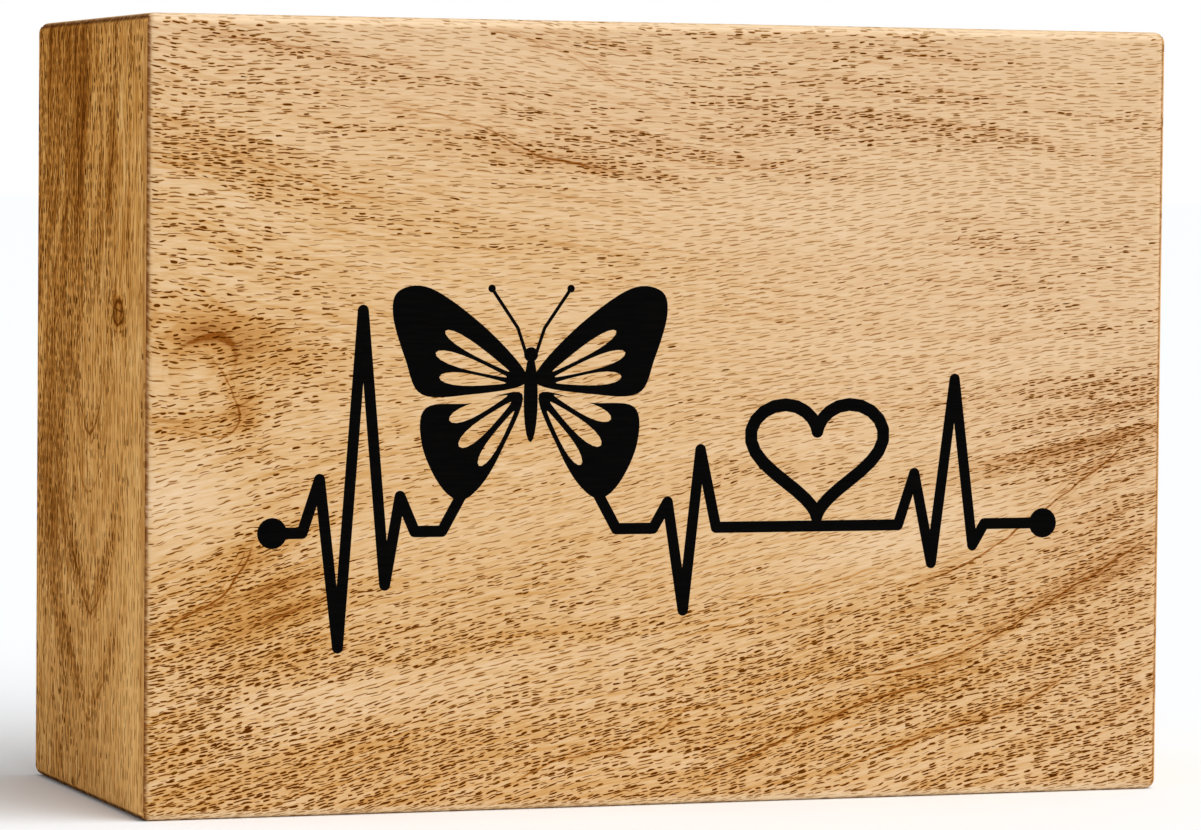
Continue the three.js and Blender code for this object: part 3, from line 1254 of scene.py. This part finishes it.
def steel_material():
    """Zinc-coated screw steel, slightly blotchy."""
    paint = Paint("screw_steel")
    metres = paint.place()
    blotch = paint.noise(metres[0], metres[1], STEEL_BLOTCHES)
    colour = paint.ramp(blotch, [(0.3, STEEL_DARK), (0.7, STEEL_LIGHT)])
    paint.show("Base Color", colour)
    paint.show("Roughness", paint.math("MULTIPLY_ADD", blotch, *STEEL_ROUGHNESS))
    paint.show("Metallic", 1.0)
    return paint.material


def ink_material():
    """Flat black ink, with the faintest unevenness of the wood below."""
    paint = Paint("print_black")
    metres = paint.place()
    grain = paint.noise(metres[0], metres[2], INK_GRAIN)
    colour = paint.ramp(grain, [(0.3, INK_DARK), (0.75, INK_LIGHT)])
    paint.show("Base Color", colour)
    paint.show("Roughness", paint.math("MULTIPLY_ADD", grain, *INK_ROUGHNESS))
    paint.show("Specular IOR Level", INK_GLOSS)
    return paint.material


def dress(piece, material):
    piece.data.materials.append(material)


for board in (front, back, top):
    dress(board, face_wood)
dress(left, side_wood)
dress(right, right_wood)
dress(front_print, ink_material())


def dress_node(name, material):
    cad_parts[name].material_slots[0].material = material


dress_node("base_panel", base_material())
screw_steel = steel_material()
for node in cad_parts:
    if node.startswith("base_screw"):
        dress_node(node, screw_steel)


def make_camera():
    """Looks at the target from the fitted direction, with a slight roll."""
    back_way = Vector((
        math.sin(CAMERA_AZIMUTH) * math.cos(CAMERA_ELEVATION),
        -math.cos(CAMERA_AZIMUTH) * math.cos(CAMERA_ELEVATION),
        math.sin(CAMERA_ELEVATION),
    ))
    level = Vector((math.cos(CAMERA_AZIMUTH), math.sin(CAMERA_AZIMUTH), 0))
    upright = back_way.cross(level)
    across = level * math.cos(CAMERA_ROLL) + upright * math.sin(CAMERA_ROLL)
    upwards = upright * math.cos(CAMERA_ROLL) - level * math.sin(CAMERA_ROLL)
    lens = bpy.data.cameras.new("camera")
    lens.lens = CAMERA_LENS
    lens.sensor_width = SENSOR_WIDTH
    lens.sensor_fit = "HORIZONTAL"
    camera = bpy.data.objects.new("camera", lens)
    turn = Matrix((across, upwards, back_way)).transposed().to_4x4()
    camera.matrix_world = Matrix.Translation(CAMERA_TARGET + back_way * CAMERA_DISTANCE) @ turn
    bpy.context.scene.collection.objects.link(camera)
    bpy.context.scene.camera = camera


make_camera()

# Floor and light
FLOOR_SIZE = 80.0
FLOOR_COLOUR = (0.943, 0.963, 0.986, 1)
FLOOR_ROUGHNESS = 0.9
SUN_STRENGTH = 2.6
SUN_SPREAD = math.radians(70)
SUN_FROM = Vector((0.5, -0.5, 0.75))
ROOM_LIGHT = 0.46
ROOM_SEEN = 1.0


def make_floor():
    mesh = bpy.data.meshes.new("floor")
    half = FLOOR_SIZE / 2
    corners = [(-half, -half, 0), (half, -half, 0), (half, half, 0), (-half, half, 0)]
    mesh.from_pydata(corners, [], [(0, 1, 2, 3)])
    floor = add_object("floor", mesh)
    paint = Paint("floor")
    paint.show("Base Color", FLOOR_COLOUR)
    paint.show("Roughness", FLOOR_ROUGHNESS)
    mesh.materials.append(paint.material)


make_floor()


def make_sun():
    """One broad soft light from above, in front and to the right."""
    lamp = bpy.data.lights.new("softbox", "SUN")
    lamp.energy = SUN_STRENGTH
    lamp.angle = SUN_SPREAD
    light = bpy.data.objects.new("softbox", lamp)
    light.matrix_world = SUN_FROM.to_track_quat("Z", "Y").to_matrix().to_4x4()
    bpy.context.scene.collection.objects.link(light)


make_sun()


def make_world():
    """A white room, which the camera sees brighter than the light it casts."""
    world = bpy.data.worlds.new("studio")
    bpy.context.scene.world = world
    world.use_nodes = True
    tree = world.node_tree
    background = tree.nodes["Background"]
    seen = tree.nodes.new("ShaderNodeLightPath")
    level = tree.nodes.new("ShaderNodeMapRange")
    level.inputs["To Min"].default_value = ROOM_LIGHT
    level.inputs["To Max"].default_value = ROOM_SEEN
    tree.links.new(seen.outputs["Is Camera Ray"], level.inputs["Value"])
    tree.links.new(level.outputs["Result"], background.inputs["Strength"])
    background.inputs["Color"].default_value = (1, 1, 1, 1)


make_world()
bpy.context.scene.view_settings.view_transform = "Standard"
